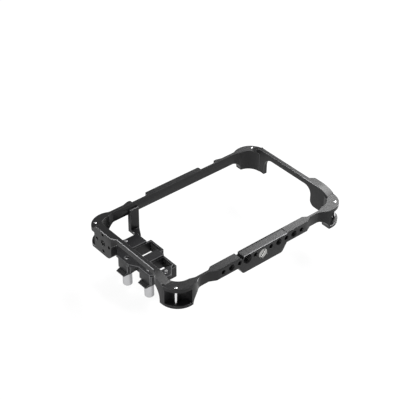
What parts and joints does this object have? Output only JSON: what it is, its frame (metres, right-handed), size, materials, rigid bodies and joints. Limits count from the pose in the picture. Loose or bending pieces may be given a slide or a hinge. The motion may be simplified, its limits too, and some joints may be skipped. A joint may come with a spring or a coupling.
{
  "type": "monitor cage",
  "caption": "Rectangular metal cage round a field monitor, with corner strap pins, threaded holes along its lower rail, a side hole block and sliding plug clamps with thumbscrews behind.",
  "frame": {"origin": "on the axis of the large threaded hole in the lower rail, where its wall starts behind the chamfered mouth", "axes": "+X runs along the long side to the right as seen from the screen side, +Y from the lower rail to the upper rail, +Z out of the screen"},
  "size_m": [0.2206, 0.1409, 0.0665],
  "materials": {
    "frame_black": "fine bead-blasted black anodised aluminium",
    "clamp_black": "satin black anodised aluminium",
    "pin_steel": "polished stainless steel",
    "screw_steel": "turned stainless steel",
    "knob_silver": "knurled satin silver",
    "pad_rubber": "soft matt black rubber"
  },
  "bodies": {
    "cage": {"cage_frame": "frame_black", "near_left_pin": "pin_steel", "near_right_pin": "pin_steel", "far_left_pin": "pin_steel", "far_right_pin": "pin_steel", "clamp_bracket": "clamp_black", "arm_screw": "screw_steel", "lug_screw": "screw_steel", "bracket_dowels": "pin_steel"},
    "upper_clamp": {"upper_ring": "clamp_black", "upper_pad": "pad_rubber"},
    "lower_clamp": {"lower_ring": "clamp_black", "lower_pad": "pad_rubber"},
    "upper_thumb_washer": {"upper_washer": "screw_steel"},
    "upper_thumb": {"upper_knob": "knob_silver", "upper_thumbscrew": "screw_steel"},
    "lower_thumb_washer": {"lower_washer": "screw_steel"},
    "lower_thumb": {"lower_knob": "knob_silver", "lower_thumbscrew": "screw_steel"},
    "captive_ring": {"captive_washer": "screw_steel"},
    "captive_bolt": {"captive_screw": "screw_steel"}
  },
  "joints": [
    {"name": "upper_clamp_slide", "type": "slide", "parent": "cage", "child": "upper_clamp", "axis": [1, 0, 0], "range_m": [-0.005, 0]},
    {"name": "upper_thumb_advance", "type": "slide", "parent": "cage", "child": "upper_thumb_washer", "axis": [0, 0, 1], "range_m": [-0.00117, 0.00023]},
    {"name": "upper_thumb_turn", "type": "hinge", "parent": "upper_thumb_washer", "child": "upper_thumb", "pos_m": [-0.071, 0.0951, -0.044], "axis": [0, 0, 1], "range_deg": [-601, 121]},
    {"name": "lower_clamp_slide", "type": "slide", "parent": "cage", "child": "lower_clamp", "axis": [1, 0, 0], "range_m": [-0.005, 0]},
    {"name": "lower_thumb_advance", "type": "slide", "parent": "cage", "child": "lower_thumb_washer", "axis": [0, 0, 1], "range_m": [-0.00117, 0.00023]},
    {"name": "lower_thumb_turn", "type": "hinge", "parent": "lower_thumb_washer", "child": "lower_thumb", "pos_m": [-0.0655, 0.0676, -0.044], "axis": [0, 0, 1], "range_deg": [-601, 121]},
    {"name": "captive_advance", "type": "slide", "parent": "cage", "child": "captive_ring", "axis": [0, 1, 0], "range_m": [-0.00254, 0]},
    {"name": "captive_turn", "type": "hinge", "parent": "captive_ring", "child": "captive_bolt", "pos_m": [0.02, 0.0016, -0.0036], "axis": [0, 1, 0], "range_deg": [-721, 1]}
  ],
  "couplings": [
    {"joint": "upper_thumb_turn", "follows": "upper_thumb_advance", "rad_per_m": 8976},
    {"joint": "lower_thumb_turn", "follows": "lower_thumb_advance", "rad_per_m": 8976},
    {"joint": "captive_turn", "follows": "captive_advance", "rad_per_m": 4947.4}
  ]
}
